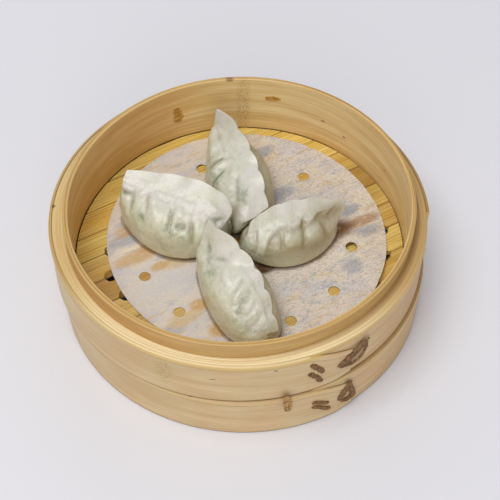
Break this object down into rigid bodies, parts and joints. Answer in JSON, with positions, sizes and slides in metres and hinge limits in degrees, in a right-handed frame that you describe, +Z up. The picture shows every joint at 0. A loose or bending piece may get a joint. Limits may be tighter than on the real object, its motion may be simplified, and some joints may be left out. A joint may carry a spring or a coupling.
{
  "type": "chive dumplings in a steamer basket",
  "caption": "Round bamboo steamer basket, open at the top, with a punched paper liner on its slatted floor and pleated crescent dumplings with a green filling.",
  "frame": {"origin": "on the table under the middle of the basket", "axes": "+Z up, +X to the right and +Y away from the viewer in the picture, whose front has the laced ends of the hoops at its right"},
  "size_m": [0.1834, 0.18, 0.0637],
  "materials": {
    "inner_wall_bamboo": "satin",
    "hoop_bamboo": "satin",
    "floor_bamboo": "satin",
    "lacing": "matte",
    "liner_paper": "matte",
    "dumpling_dough": "satin"
  },
  "bodies": {
    "root": {"inner_ring": "inner_wall_bamboo", "lower_hoop_core": "hoop_bamboo", "lower_hoop_strip": "hoop_bamboo", "upper_hoop_core": "hoop_bamboo", "upper_hoop_strip": "hoop_bamboo", "upper_lacing_bar_1": "lacing", "upper_lacing_bar_2": "lacing", "upper_lacing_slant": "lacing", "upper_lacing_arc": "lacing", "lower_lacing_bar_1": "lacing", "lower_lacing_bar_2": "lacing", "lower_lacing_slant": "lacing", "lower_lacing_arc": "lacing", "seam_tie": "lacing", "inside_tie_left": "lacing", "inside_tie_back": "lacing", "floor_slat_01": "floor_bamboo", "floor_slat_02": "floor_bamboo", "floor_slat_03": "floor_bamboo", "floor_slat_04": "floor_bamboo", "floor_slat_05": "floor_bamboo", "floor_slat_06": "floor_bamboo", "floor_slat_07": "floor_bamboo", "floor_slat_08": "floor_bamboo", "floor_slat_09": "floor_bamboo", "floor_slat_10": "floor_bamboo", "floor_slat_11": "floor_bamboo", "floor_slat_12": "floor_bamboo", "floor_bar_1": "floor_bamboo", "floor_bar_2": "floor_bamboo", "paper_liner": "liner_paper", "dumpling_1": "dumpling_dough", "dumpling_2": "dumpling_dough", "dumpling_3": "dumpling_dough", "dumpling_4": "dumpling_dough"}
  },
  "joints": []
}
